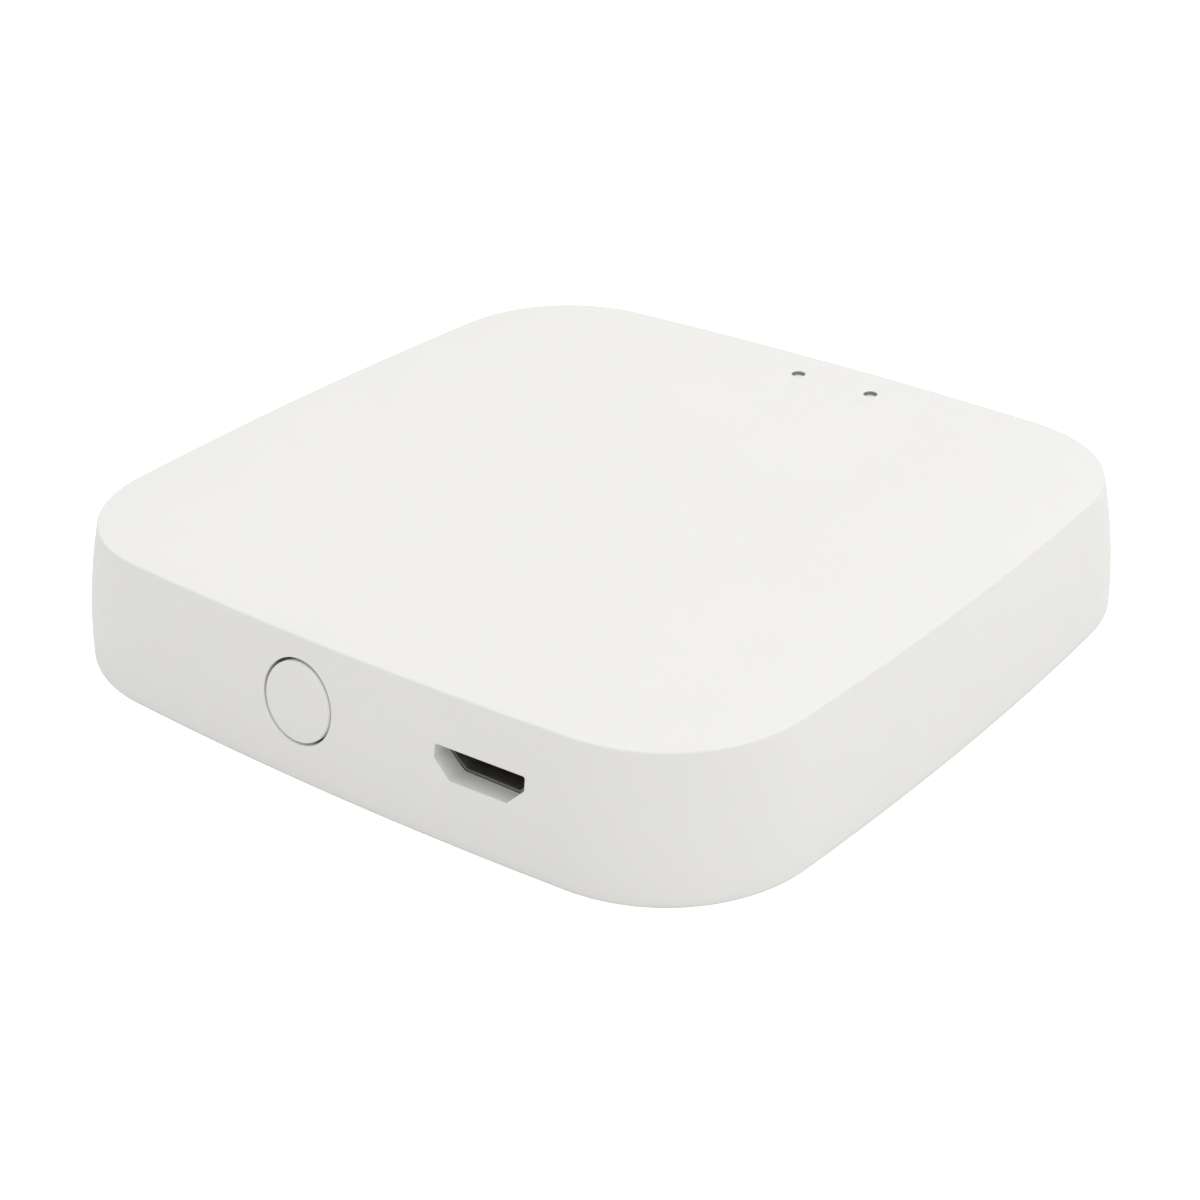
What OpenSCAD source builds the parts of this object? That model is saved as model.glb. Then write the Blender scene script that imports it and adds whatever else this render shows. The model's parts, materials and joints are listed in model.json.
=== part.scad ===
// Smart home hub: a low rounded-square casing with a push button and a micro-USB inlet on its
// front wall, two status lights on top, and a radio board clamped inside.
// +X is right, +Y is back, +Z is up. The origin is the footprint's centre on the rest plane.

/* [Casing] */
// Width and depth over the middles of the bowed walls
body_w = 65; // [62:0.5:72]
// Height from the rest plane to the top face
body_h = 13; // [12.8:0.1:15]
// Radius of the plan corners
corner_r = 12.4; // [11.5:0.1:13]
// How far each wall bows out over half its width
bow = 1.65; // [1.2:0.05:2]
// Radius of the walls' upright curve
wall_r = 46; // [40:1:80]
// Depth below the top at which the walls are widest
widest_depth = 10.4; // [10:0.1:10.8]
// Thickness of the top shell's walls and top plate
wall_t = 2; // [1.8:0.1:2.1]
// Edge radius where the walls meet the top face
top_edge_r = 0.2; // [0.1:0.05:0.6]
// Edge radius along the foot of the walls
bottom_edge_r = 1.08; // [0.6:0.02:1.1]

/* [Base] */
// Height of the underside above the rest plane
feet_gap = 1; // [0.8:0.1:1.1]
// Height of the walls' lower edge above the rest plane
rim_gap = 1.42; // [1.4:0.02:1.8]
// Diameter of the rubber feet
foot_d = 8; // [6:0.5:9]
// Distance of the screws and feet from the middle, in X and Y
screw_offset = 20; // [19:0.5:20.5]

/* [Button] */
// Sideways place of the button
button_x = -2.81; // [-6:0.01:0]
// Depth of the button's centre below the top
button_depth = 4.81; // [4.74:0.01:4.81]
// Diameter of the button's face
button_d = 6.04; // [5:0.02:6.2]
// Running gap around the button
button_gap = 0.19; // [0.1:0.01:0.25]
// How far the button stands proud of the wall
button_proud = 0.04; // [0:0.02:0.5]
// Travel of the button
button_travel = 0.25; // [0.2:0.05:0.3]

/* [Inlet] */
// Sideways place of the micro-USB inlet
usb_x = 13.28; // [12:0.02:15]
// Width of the inlet cut-out
usb_cut_w = 7.44; // [7.3:0.01:7.6]
// Height of the inlet cut-out
usb_cut_h = 2.33; // [2.2:0.01:2.34]
// Width of the cut-out's lower flat, between its bevels
usb_cut_low_w = 4.74; // [4.6:0.01:4.9]

/* [Lights] */
// Sideways places of the two status lights
light_x = [-0.8, 6.34];
// Distance of the lights behind the middle
light_y = 27.5; // [26.5:0.1:27.6]
// Diameter of the light holes
light_d = 1.16; // [0.9:0.02:1.4]

/* [Board] */
// Thickness of the main board
board_t = 1.2; // [1:0.1:1.2]
// Depth of the board's upper face below the top
board_depth = 6.18; // [6.18:0.01:6.25]
// Half the board's width
board_half = 29; // [28.5:0.1:29.2]

/* [Hidden] */

$fn = 96;
// Segments along each bowed side, each corner, each rounded edge and the walls' upright curve
side_steps = 6;
corner_steps = 12;
rim_steps = 5;
wall_steps = 8;
// Overlap that joins features, and clearance past a cut
eps = 0.01;
over = 1;

// Casing outline: four shallow side arcs and four corner arcs, tangent to each other
half_w = body_w / 2;
side_r = (half_w * half_w + bow * bow) / (2 * bow);
side_centre = half_w - side_r;
arc_k = side_r - half_w;
arc_gap = side_r - corner_r;
corner_centre = (sqrt(4 * arc_k * arc_k - 8 * (arc_k * arc_k - arc_gap * arc_gap)) - 2 * arc_k) / 4;
side_turn = atan2(corner_centre, corner_centre - side_centre);

// Casing heights
top_z = body_h;
widest_z = top_z - widest_depth;
ceiling_z = top_z - wall_t;

// Base
cover_gap = 0.15;
cover_t = 1.6;
cover_inset = wall_t + cover_gap;
cover_top_z = feet_gap + cover_t;
cover_chamfer = 0.3;
lip_h = 1.2;
lip_t = 1.2;
foot_seat = 0.4;
foot_h = feet_gap + foot_seat;
foot_gap = 0.1;
foot_edge_r = 0.35;
label_size = [26, 13];
label_t = 0.1;
label_y = -1;

// Screws and the posts that clamp the board
post_r = 2.8;
screw_r = 0.98;
screw_hole_r = 1;
screw_way_r = 1.15;
screw_head_r = 1.9;
screw_head_h = 1.2;
screw_head_z = foot_h + 0.2;
screw_tip_z = 10.2;
screw_hole_top = 10.4;
head_recess_r = 2.1;
cross_w = 0.45;
cross_l = 2;
cross_depth = 0.7;

// Board
board_z = top_z - board_depth;
board_under = board_z - board_t;
board_corner_r = 10;

// Button: its seat behind the wall, flange, pusher and guide ribs
button_z = top_z - button_depth;
button_r = button_d / 2;
seat_y = -29.6;
seat_r = 4.4;
seat_gap = 0.03;
guide_root = 1.2;
flange_size = [9.5, 0.8, 4.2];
flange_y = seat_y + seat_gap;
pusher_r = 1.1;
pusher_end = -28;
cap_edge_r = 0.15;
puck_back = 0.6;
stem_r = 2.5;
guide_gap = 0.15;
guide_t = 1;
guide_low_z = 5.2;
guide_back = -28.4;
notch_half = 6.6;
notch_y = -28.1;

// Side-push switch. The plunger runs from the pusher to a snap dome in the housing's pocket.
switch_size = [4.6, 3.4, 2.7];
switch_front = -27.2;
switch_metal_t = 0.2;
switch_skirt = 0.4;
window_gap = 0.1;
terminal_size = [0.7, 0.6, 0.15];
terminal_places = [0.4, 2.4];
touch_gap = 0.02;
plunger_size = [1.8, 1.2];
plunger_front = pusher_end + touch_gap;
plunger_shoulder = 0.85;
dome_r = 1.08;
dome_h = button_travel + 0.1;
dome_t = 0.08;
dome_crown_y = switch_front + touch_gap + plunger_shoulder + eps;
dome_pocket_r = 1.15;
dome_pocket_h = plunger_shoulder + dome_h + 0.05;

// Micro-USB inlet
usb_drop = 0.09;
usb_z = button_z - usb_drop;
usb_mid_rise = 0.13;
usb_front = -30.4;
usb_l = 5;
usb_metal_t = 0.3;
usb_rim = 0.1;
usb_corner_r = 0.2;
usb_low_growth = 0.4;
usb_pocket_gap = 0.25;
usb_pocket_floor = usb_front - 0.05;
tongue_size = [5.2, 3.4, 0.55];
tongue_rise = 0.16;
tongue_z = usb_z + tongue_rise;
usb_block_l = 1.3;
contact_n = 5;
contact_pitch = 0.65;
contact_size = [0.35, 0.08];
contact_setback = 0.3;
contact_end_gap = 0.05;
contact_tail = [0.9, 0.15];
tab_size = [0.9, 0.9, 0.25];
tab_places = [2.4, 4];
tab_bite = 0.05;
tab_rise = 0.4;
inlet_post = [usb_x, -24];
inlet_post_r = 1.2;

// Light pipes, their sleeves and their lamps
pipe_gap = 0.02;
pipe_sunk = 0.22;
sleeve_t = 0.1;
sleeve_rim = 0.02;
sleeve_sunk = 0.03;
pipe_flange_r = 1.1;
pipe_flange_h = 0.6;
pipe_stem_r = 0.8;
pipe_end_r = 0.3;
pipe_low_z = 8;
socket_r = 2;
socket_low_z = 9.6;
led_size = [2, 1.25, 0.4];
led_lens = [1.2, 1.1, 0.4];

// Radio modules. Boards, cans and traces are placed by a corner, chips by their centres.
module_t = 0.8;
module_z = board_z + module_t;
can_t = 0.2;
trace_t = 0.08;
trace_w = 0.6;
trace_pitch = 1.9;
trace_runs = 7;
radio_chip = [5, 5, 0.9];
flash_chip = [4.9, 5.2, 1.6];
crystal_can = [3.2, 2.5, 0.8];
wifi_at = [-28, -0.5];
wifi_size = [24, 16, module_t];
wifi_can_at = [-21, 0.7];
wifi_can = [15.6, 13.6, 2.2];
wifi_trace_at = [-27.2, 1.2];
wifi_trace_l = 4.6;
wifi_chip_at = [-10.5, 9.5];
wifi_flash_at = [-17, 9.5];
wifi_crystal_at = [-10.5, 3.6];
zigbee_at = [10.5, -4];
zigbee_size = [17.5, 15, module_t];
zigbee_can_at = [11.5, -3];
zigbee_can = [10.5, 13, 2.2];
zigbee_trace_at = [23.2, -2.6];
zigbee_trace_l = 4;
zigbee_chip_at = [16.5, 5.5];
zigbee_crystal_at = [16.5, 0];

// Power supply and small parts, placed by their centres. A row is [x, y, x step, y step, count].
leaded_size = [2.9, 1.6, 1.1];
lead_size = [0.4, 0.6, 0.15];
lead_n = 3;
lead_pitch = 0.95;
diode_at = [8, -23.5];
regulator_at = [7.6, -18.6];
inductor_at = [7.5, -13.1];
inductor_size = [5, 5, 2.8];
inductor_mark_r = 1.9;
inductor_mark_depth = 0.3;
tantalum_size = [3.5, 2.8, 1.9];
input_capacitor_at = [14, -18.6];
output_capacitor_at = [14, -13.1];
resistor_size = [1.6, 0.8, 0.45];
lamp_resistor_y = 22.4;
resistor_rows = [
    [light_x[0], lamp_resistor_y, light_x[1] - light_x[0], 0, 2],
    [-24, -11.6, 0, 1.8, 4],
    [-8, -13.6, 3, 0, 3]
];
capacitor_size = [1.6, 0.8, 0.8];
capacitor_rows = [
    [-19, -3.6, 3, 0, 3],
    [3.5, -11.6, 0, 2, 4],
    [13, -6.6, 3, 0, 2]
];

// ---------- shapes used by several parts ----------

// Points of an arc about [x, y]
function arc(x, y, r, a0, a1, n) = [
    for (i = [0:n])
        let (a = a0 + (a1 - a0) * i / n)
        [x + r * cos(a), y + r * sin(a)]
];

// A list without its first and last entries
function middle(list) = [for (i = [1:len(list) - 2]) list[i]];

// The outer wall's inset from its widest outline at height z, thinned inwards by t
function wall_inset(z, t = 0) = wall_r - sqrt(pow(wall_r - t, 2) - pow(z - widest_z, 2));

// Wall curve as [inset, height] points, thinned by t, between two angles
function wall_curve(t, a0, a1, n) = [
    for (p = arc(0, widest_z, wall_r - t, a0, a1, n))
        [wall_r - p[0], p[1]]
];

// Distance of the outer front wall from the middle plane, at sideways place x and height z
function front_y(x, z) = -side_centre - sqrt(pow(side_r - wall_inset(z), 2) - x * x);

// A vector's direction
function unit(v) = v / norm(v);

// One rounded corner of a polygon: q between p and s, radius r
function fillet(p, q, s, r, n) =
    let (
        u = unit(p - q),
        v = unit(s - q),
        half = acos(u * v) / 2,
        c = q + unit(u + v) * r / sin(half),
        a0 = atan2((q + u * r / tan(half) - c)[1], (q + u * r / tan(half) - c)[0]),
        a1 = atan2((q + v * r / tan(half) - c)[1], (q + v * r / tan(half) - c)[0]),
        turn = a1 - a0 > 180 ? a1 - a0 - 360 : a1 - a0 < -180 ? a1 - a0 + 360 : a1 - a0
    )
    arc(c[0], c[1], r, a0, a0 + turn, n);

// A polygon with every corner rounded
function rounded(points, r, n = 4) =
    let (count = len(points))
    [
        for (i = [0:count - 1])
            each fillet(points[(i + count - 1) % count], points[i], points[(i + 1) % count], r, n)
    ];

// The right side and the corner behind it, moved inwards by an inset
function quarter(inset) = concat(
    arc(side_centre, 0, side_r - inset, -side_turn, side_turn, side_steps),
    middle(arc(
        corner_centre, corner_centre, corner_r - inset, side_turn, 90 - side_turn, corner_steps
    ))
);

// Casing outline moved inwards by an inset, at height z, anticlockwise
function outline(inset, z) = [
    for (turn = [0:90:270]) each [
        for (p = quarter(inset))
            [p[0] * cos(turn) - p[1] * sin(turn), p[0] * sin(turn) + p[1] * cos(turn), z]
    ]
];

// Solid of rings that follow the casing outline, one for each [inset, height] point of the profile.
// The first ring is closed by a face that looks down and the last by one that looks up.
module swept(profile) {
    rings = [for (p = profile) outline(p[0], p[1])];
    n = len(rings[0]);
    last = len(rings) - 1;
    polyhedron(
        points = [for (ring = rings) each ring],
        faces = concat(
            [[for (i = [0:n - 1]) i]],
            [[for (i = [n - 1:-1:0]) last * n + i]],
            [for (k = [0:last - 1], i = [0:n - 1])
                [k * n + i, (k + 1) * n + i, (k + 1) * n + (i + 1) % n, k * n + (i + 1) % n]]
        )
    );
}

// Cylinder along +Y that starts at y
module rod_y(x, y, z, r, l) {
    translate([x, y, z])
        rotate([-90, 0, 0])
            cylinder(r = r, h = l);
}

// Box centred sideways on x, starting at y and z
module block(x, y, z, size) {
    translate([x - size[0] / 2, y, z])
        cube(size);
}

// The four screw places
module at_screws() {
    for (sx = [-1, 1], sy = [-1, 1])
        translate([sx * screw_offset, sy * screw_offset, 0])
            children();
}

// Plan outline of a square with round corners
module rounded_square(half, r) {
    square([2 * half, 2 * (half - r)], center = true);
    square([2 * (half - r), 2 * half], center = true);
    for (sx = [-1, 1], sy = [-1, 1])
        translate([sx * (half - r), sy * (half - r)])
            circle(r);
}

// Outline of the inlet, wide side up, grown by g on every side
module usb_outline(g) {
    half = usb_cut_w / 2 + g;
    low_half = usb_cut_low_w / 2 + g * usb_low_growth;
    high = usb_cut_h / 2 + g;
    right = [[low_half, -high], [half, usb_mid_rise], [half, high]];
    left = [for (i = [2:-1:0]) [-right[i][0], right[i][1]]];
    polygon(rounded(concat(right, left), usb_corner_r));
}

// Inlet-shaped bar along +Y
module usb_bar(y, l, g) {
    translate([usb_x, y + l, usb_z])
        rotate([90, 0, 0])
            linear_extrude(l)
                usb_outline(g);
}

// ---------- casing ----------

// Down the inside of the wall, across its lower edge and up the outside to the top face
function shell_profile() =
    let (
        under = asin((ceiling_z - widest_z) / (wall_r - wall_t)),
        bend = asin((top_z - top_edge_r - widest_z) / (wall_r - top_edge_r)),
        edge_inset = wall_inset(top_z - top_edge_r, top_edge_r)
    )
    concat(
        wall_curve(wall_t, under, 0, wall_steps / 2),
        [[wall_t, rim_gap]],
        [for (a = [0:90 / rim_steps:89])
            [bottom_edge_r * (1 - sin(a)), rim_gap + bottom_edge_r * (1 - cos(a))]],
        wall_curve(0, 0, bend, wall_steps),
        [for (i = [1:rim_steps]) let (a = bend + (90 - bend) * i / rim_steps)
            [edge_inset - top_edge_r * cos(a), top_z - top_edge_r + top_edge_r * sin(a)]]
    );

module top_shell() {
    color("white")
        difference() {
            union() {
                swept(shell_profile());
                at_screws()
                    translate([0, 0, board_z])
                        cylinder(r = post_r, h = ceiling_z - board_z + wall_t / 2);
                button_guides();
                for (x = light_x)
                    translate([x, light_y, socket_low_z])
                        cylinder(r = socket_r, h = ceiling_z - socket_low_z + wall_t / 2);
            }
            at_screws()
                translate([0, 0, board_z - over])
                    cylinder(r = screw_hole_r, h = screw_hole_top - board_z + over);
            rod_y(button_x, -half_w - over, button_z, button_r + button_gap, half_w + seat_y + 2 * over);
            usb_bar(-half_w - over, wall_t + 2 * over, 0);
            usb_pocket();
            for (x = light_x) {
                translate([x, light_y, socket_low_z - over])
                    cylinder(r = pipe_flange_r + pipe_gap, h = ceiling_z - socket_low_z + over);
                translate([x, light_y, ceiling_z - over])
                    cylinder(r = light_d / 2, h = wall_t + 2 * over);
            }
        }
}

// Seat ring round the button hole and a rib on each side of the flange
module button_guides() {
    root_y = seat_y - guide_root;
    high = ceiling_z + wall_t / 4 - guide_low_z;
    rib_x = flange_size[0] / 2 + guide_gap + guide_t / 2;
    rib_size = [guide_t, guide_back - root_y, high];
    intersection() {
        union() {
            rod_y(button_x, root_y, button_z, seat_r, guide_root);
            for (side = [-1, 1])
                block(button_x + side * rib_x, root_y, guide_low_z, rib_size);
        }
        block(
            button_x,
            root_y - over,
            guide_low_z - guide_root,
            [half_w, half_w, high + guide_root]
        );
    }
}

// Room behind the front wall for the inlet's metal shell
module usb_pocket() {
    grow = usb_rim + usb_pocket_gap;
    translate([usb_x - usb_cut_w / 2 - grow, usb_pocket_floor, usb_z - usb_cut_h / 2 - grow])
        cube([usb_cut_w + 2 * grow, usb_l, usb_cut_h + 2 * grow]);
}

module bottom_cover() {
    lip_inset = cover_inset + cover_gap;
    color("whitesmoke")
        difference() {
            union() {
                swept([
                    [cover_inset + cover_chamfer, feet_gap],
                    [cover_inset, feet_gap + cover_chamfer],
                    [cover_inset, cover_top_z],
                    [lip_inset, cover_top_z],
                    [lip_inset, cover_top_z + lip_h],
                    [lip_inset + lip_t, cover_top_z + lip_h],
                    [lip_inset + lip_t, cover_top_z]
                ]);
                at_screws()
                    translate([0, 0, feet_gap + cover_t / 2])
                        cylinder(r = post_r, h = board_under - feet_gap - cover_t / 2);
                translate([inlet_post[0], inlet_post[1], feet_gap + cover_t / 2])
                    cylinder(r = inlet_post_r, h = board_under - feet_gap - cover_t / 2);
            }
            at_screws() {
                translate([0, 0, feet_gap - over])
                    cylinder(r = foot_d / 2 + foot_gap, h = foot_seat + over);
                translate([0, 0, feet_gap])
                    cylinder(r = head_recess_r, h = screw_head_z + screw_head_h - feet_gap);
                translate([0, 0, feet_gap])
                    cylinder(r = screw_way_r, h = board_under - feet_gap + over);
            }
            block(
                0,
                label_y - label_size[1] / 2,
                feet_gap - over,
                [label_size[0], label_size[1], over + label_t]
            );
        }
}

module button_cap() {
    tilt = asin((button_z - widest_z) / wall_r);
    face_y = front_y(button_x, button_z);
    stem_y = face_y + puck_back / 2;
    color("gainsboro") {
        translate([button_x, face_y, button_z])
            rotate([90 - tilt, 0, 0])
                rotate_extrude()
                    polygon(concat(
                        [[0, -puck_back], [button_r, -puck_back]],
                        arc(button_r - cap_edge_r, button_proud - cap_edge_r, cap_edge_r, 0, 90, rim_steps),
                        [[0, button_proud]]
                    ));
        rod_y(button_x, stem_y, button_z, stem_r, flange_y - stem_y + eps);
        block(button_x, flange_y, button_z - flange_size[2] / 2, flange_size);
        rod_y(button_x, flange_y + eps, button_z, pusher_r, pusher_end - flange_y - eps);
    }
}

module foot(sx, sy) {
    color("dimgray")
        translate([sx * screw_offset, sy * screw_offset, 0])
            rotate_extrude()
                polygon(concat(
                    [[0, foot_h], [0, 0]],
                    arc(foot_d / 2 - foot_edge_r, foot_edge_r, foot_edge_r, -90, 0, rim_steps),
                    [[foot_d / 2, foot_h]]
                ));
}

module foot_front_left() {
    foot(-1, -1);
}

module foot_front_right() {
    foot(1, -1);
}

module foot_rear_left() {
    foot(-1, 1);
}

module foot_rear_right() {
    foot(1, 1);
}

module cover_screws() {
    color("silver")
        at_screws()
            difference() {
                union() {
                    translate([0, 0, screw_head_z])
                        cylinder(r = screw_head_r, h = screw_head_h);
                    translate([0, 0, screw_head_z + screw_head_h - eps])
                        cylinder(r = screw_r, h = screw_tip_z - screw_head_z - screw_head_h + eps);
                }
                for (turn = [0, 90])
                    rotate(turn)
                        translate([-cross_w / 2, -cross_l / 2, screw_head_z - over])
                            cube([cross_w, cross_l, cross_depth + over]);
            }
}

module rating_label() {
    color("silver")
        block(
            0,
            label_y - label_size[1] / 2 + eps,
            feet_gap,
            [label_size[0] - 2 * eps, label_size[1] - 2 * eps, label_t]
        );
}

// ---------- main board and what stands on it ----------

module main_board() {
    color("darkgreen")
        translate([0, 0, board_under])
            difference() {
                linear_extrude(board_t)
                    rounded_square(board_half, board_corner_r);
                at_screws()
                    translate([0, 0, -over])
                        cylinder(r = screw_way_r, h = board_t + 2 * over);
                translate([button_x - notch_half, -board_half - over, -over])
                    cube([2 * notch_half, notch_y + board_half + over, board_t + 2 * over]);
            }
}

module switch_body() {
    color("#222222")
        difference() {
            block(button_x, switch_front, board_z, switch_size);
            rod_y(button_x, switch_front - over, button_z, dome_pocket_r, dome_pocket_h + over);
        }
}

// Metal cover that holds the plunger in: front plate with a window, top plate and two sides
module switch_cover() {
    low_z = board_z + switch_skirt;
    inner_h = switch_size[2] - switch_skirt;
    plate_y = switch_front - switch_metal_t;
    inner = [switch_size[0], switch_size[1] + over, inner_h + over];
    outer = [
        switch_size[0] + 2 * switch_metal_t,
        switch_size[1] + switch_metal_t,
        inner_h + switch_metal_t
    ];
    window = [
        plunger_size[0] + 2 * window_gap,
        switch_metal_t + 2 * over,
        plunger_size[1] + 2 * window_gap
    ];
    color("lightgray")
        difference() {
            block(button_x, plate_y, low_z, outer);
            block(button_x, switch_front, low_z - over, inner);
            block(button_x, plate_y - over, button_z - window[2] / 2, window);
        }
}

module switch_plunger() {
    nose = [plunger_size[0], switch_front - plunger_front + plunger_shoulder / 2, plunger_size[1]];
    color("ivory") {
        block(button_x, plunger_front, button_z - nose[2] / 2, nose);
        rod_y(button_x, switch_front + touch_gap, button_z, dome_r, plunger_shoulder);
    }
}

// Snap dome: a thin spherical cap whose crown meets the plunger
module switch_dome() {
    ball_r = (dome_r * dome_r + dome_h * dome_h) / (2 * dome_h);
    sweep = asin((dome_r - dome_t) / ball_r);
    color("silver")
        translate([button_x, dome_crown_y + ball_r, button_z])
            rotate([90, 0, 0])
                rotate_extrude()
                    polygon(concat(
                        arc(0, 0, ball_r, 90, 90 - sweep, rim_steps),
                        arc(0, 0, ball_r - dome_t, 90 - sweep, 90, rim_steps)
                    ));
}

module switch_terminals() {
    x_offset = (switch_size[0] + terminal_size[0]) / 2;
    color("silver")
        for (side = [-1, 1], y = terminal_places)
            block(button_x + side * x_offset, switch_front + y, board_z, terminal_size);
}

// Metal shell with its four solder tabs
module usb_shell() {
    color("silver") {
        difference() {
            usb_bar(usb_front, usb_l, usb_rim);
            usb_bar(usb_front - over, usb_l + 2 * over, usb_rim - usb_metal_t);
        }
        for (side = [-1, 1], y = tab_places)
            solder_tab(side, usb_front + y);
    }
}

// Solder tab: a foot on the board and an upright that joins it to the shell's side
module solder_tab(side, y) {
    joint = usb_cut_w / 2 + usb_rim - tab_bite;
    upright = [tab_size[2], tab_size[1], usb_z + tab_rise - board_z];
    block(usb_x + side * (joint + tab_size[0] / 2), y, board_z, tab_size);
    block(usb_x + side * (joint + upright[0] / 2), y, board_z, upright);
}

// Block at the back of the metal shell and the tongue that stands out of it
module usb_insulator() {
    block_y = usb_front + usb_l - usb_block_l;
    color("#1c1c1c") {
        usb_bar(block_y, usb_block_l, usb_rim - usb_metal_t - eps);
        block(usb_x, block_y - tongue_size[1] + eps, tongue_z, tongue_size);
    }
}

// Spring contacts under the tongue and their tails on the board
module usb_contacts() {
    strip_y = usb_front + usb_l - usb_block_l - tongue_size[1] + contact_setback;
    strip_l = tongue_size[1] - contact_setback - contact_end_gap;
    color("gold")
        for (i = [0:contact_n - 1]) {
            x = usb_x + (i - (contact_n - 1) / 2) * contact_pitch;
            block(x, strip_y, tongue_z - contact_size[1], [contact_size[0], strip_l, contact_size[1]]);
            block(x, usb_front + usb_l, board_z, [contact_size[0], contact_tail[0], contact_tail[1]]);
        }
}

module status_led(i) {
    color("white") {
        block(light_x[i], light_y - led_size[1] / 2, board_z, led_size);
        block(light_x[i], light_y - led_lens[1] / 2, board_z + led_size[2] - eps, led_lens);
    }
}

module status_led_left() {
    status_led(0);
}

module status_led_right() {
    status_led(1);
}

// Clear pin with a flange under the top plate and a round lower end
module light_pipe(i) {
    pin_r = light_d / 2 - sleeve_t - 2 * pipe_gap;
    flange_low = ceiling_z - pipe_flange_h;
    color("lightgray")
        translate([light_x[i], light_y, 0])
            rotate_extrude()
                polygon(concat(
                    [[0, pipe_low_z]],
                    arc(pipe_stem_r - pipe_end_r, pipe_low_z + pipe_end_r, pipe_end_r, -90, 0, rim_steps),
                    [
                        [pipe_stem_r, flange_low],
                        [pipe_flange_r, flange_low],
                        [pipe_flange_r, ceiling_z],
                        [pin_r, ceiling_z],
                        [pin_r, top_z - pipe_sunk],
                        [0, top_z - pipe_sunk]
                    ]
                ));
}

module light_pipe_left() {
    light_pipe(0);
}

module light_pipe_right() {
    light_pipe(1);
}

// Tube round a light pipe's pin, inside the hole in the top plate. Its mouth widens to a thin rim.
module light_sleeve(i) {
    outer_r = light_d / 2 - pipe_gap;
    bore_r = outer_r - sleeve_t;
    mouth_h = pipe_sunk - sleeve_sunk;
    color("dimgray")
        translate([light_x[i], light_y, ceiling_z])
            rotate_extrude()
                polygon([
                    [bore_r, 0],
                    [outer_r, 0],
                    [outer_r, wall_t - sleeve_sunk],
                    [outer_r - sleeve_rim, wall_t - sleeve_sunk],
                    [bore_r, wall_t - sleeve_sunk - mouth_h]
                ]);
}

module light_sleeve_left() {
    light_sleeve(0);
}

module light_sleeve_right() {
    light_sleeve(1);
}

// ---------- radio modules ----------

module module_board(at, size) {
    color("navy")
        translate([at[0], at[1], board_z])
            cube(size);
}

// Stamped shield can, open below
module shield_can(at, size) {
    color("silver")
        translate([at[0], at[1], module_z])
            difference() {
                cube(size);
                translate([can_t, can_t, -over])
                    cube([size[0] - 2 * can_t, size[1] - 2 * can_t, size[2] - can_t + over]);
            }
}

// Meander trace: uprights joined in turn at their far and near ends
module meander(at, l) {
    color("goldenrod")
        translate([at[0], at[1], module_z])
            for (i = [0:trace_runs - 1]) {
                translate([0, i * trace_pitch, 0])
                    cube([l, trace_w, trace_t]);
                if (i < trace_runs - 1)
                    translate([i % 2 == 0 ? l - trace_w : 0, i * trace_pitch, 0])
                        cube([trace_w, trace_pitch + trace_w, trace_t]);
            }
}

// Package centred on a place, standing on the main board or on a module's board
module package(at, size, z = board_z) {
    color("#202020")
        block(at[0], at[1] - size[1] / 2, z, size);
}

module wifi_board() {
    module_board(wifi_at, wifi_size);
}

module wifi_shield() {
    shield_can(wifi_can_at, wifi_can);
}

module wifi_antenna() {
    meander(wifi_trace_at, wifi_trace_l);
}

module wifi_chip() {
    package(wifi_chip_at, radio_chip, module_z);
}

module wifi_flash() {
    package(wifi_flash_at, flash_chip, module_z);
}

module wifi_crystal() {
    package(wifi_crystal_at, crystal_can, module_z);
}

module zigbee_board() {
    module_board(zigbee_at, zigbee_size);
}

module zigbee_shield() {
    shield_can(zigbee_can_at, zigbee_can);
}

module zigbee_antenna() {
    meander(zigbee_trace_at, zigbee_trace_l);
}

module zigbee_chip() {
    package(zigbee_chip_at, radio_chip, module_z);
}

module zigbee_crystal() {
    package(zigbee_crystal_at, crystal_can, module_z);
}

// ---------- power supply and small parts ----------

// Small moulded package with leads along both long sides
module leaded(at) {
    lead_out = (leaded_size[1] + lead_size[1]) / 2 - eps;
    package(at, leaded_size);
    color("silver")
        for (i = [0:lead_n - 1], side = [-1, 1]) {
            x = at[0] + (i - (lead_n - 1) / 2) * lead_pitch;
            block(x, at[1] + side * lead_out - lead_size[1] / 2, board_z, lead_size);
        }
}

// Rows of equal packages
module rows(list, size) {
    for (row = list, i = [0:row[4] - 1])
        block(row[0] + i * row[2], row[1] + i * row[3] - size[1] / 2, board_z, size);
}

module esd_diode() {
    leaded(diode_at);
}

module buck_regulator() {
    leaded(regulator_at);
}

// Square core with a round hollow in its top
module power_inductor() {
    inductor_top = board_z + inductor_size[2];
    color("#3a3a3a")
        difference() {
            package(inductor_at, inductor_size);
            translate([inductor_at[0], inductor_at[1], inductor_top - inductor_mark_depth])
                cylinder(r = inductor_mark_r, h = over);
        }
}

module input_capacitor() {
    package(input_capacitor_at, tantalum_size);
}

module output_capacitor() {
    package(output_capacitor_at, tantalum_size);
}

module chip_resistors() {
    color("#101010")
        rows(resistor_rows, resistor_size);
}

module chip_capacitors() {
    color("tan")
        rows(capacitor_rows, capacitor_size);
}

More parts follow.
